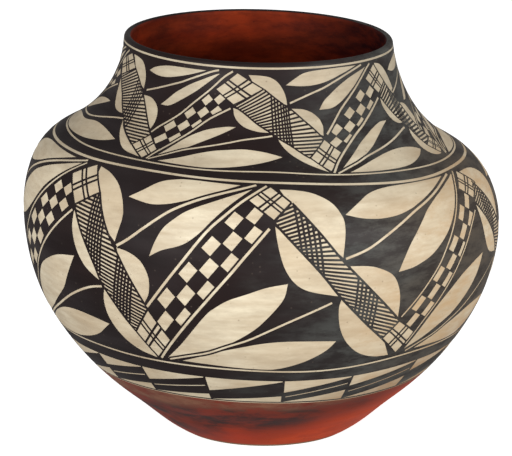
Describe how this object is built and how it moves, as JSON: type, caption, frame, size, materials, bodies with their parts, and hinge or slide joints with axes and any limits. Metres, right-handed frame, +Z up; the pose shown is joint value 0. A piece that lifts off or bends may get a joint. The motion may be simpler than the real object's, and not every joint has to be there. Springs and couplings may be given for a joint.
{
  "type": "pueblo pottery jar",
  "caption": "Coil-built earthenware water jar with a full belly, flaring concave neck and hollowed red base, white-slipped and painted in black with leaves, checkers and hatching.",
  "frame": {"origin": "centre of the standing ring, on the surface that the jar stands on", "axes": "+Z up along the axis of the jar through its mouth; the pictured side faces -Y"},
  "size_m": [0.305, 0.305, 0.2561],
  "materials": {
    "clay": "matte",
    "white_slip": "satin",
    "red_slip": "satin",
    "black_paint": "satin"
  },
  "bodies": {
    "root": {"puki_base": "clay", "coil_01": "clay", "coil_02": "clay", "coil_03": "clay", "coil_04": "clay", "coil_05": "clay", "coil_06": "clay", "coil_07": "clay", "rim_coil": "clay", "white_slip": "white_slip", "red_base_slip": "red_slip", "red_mouth_slip": "red_slip"}
  },
  "joints": []
}
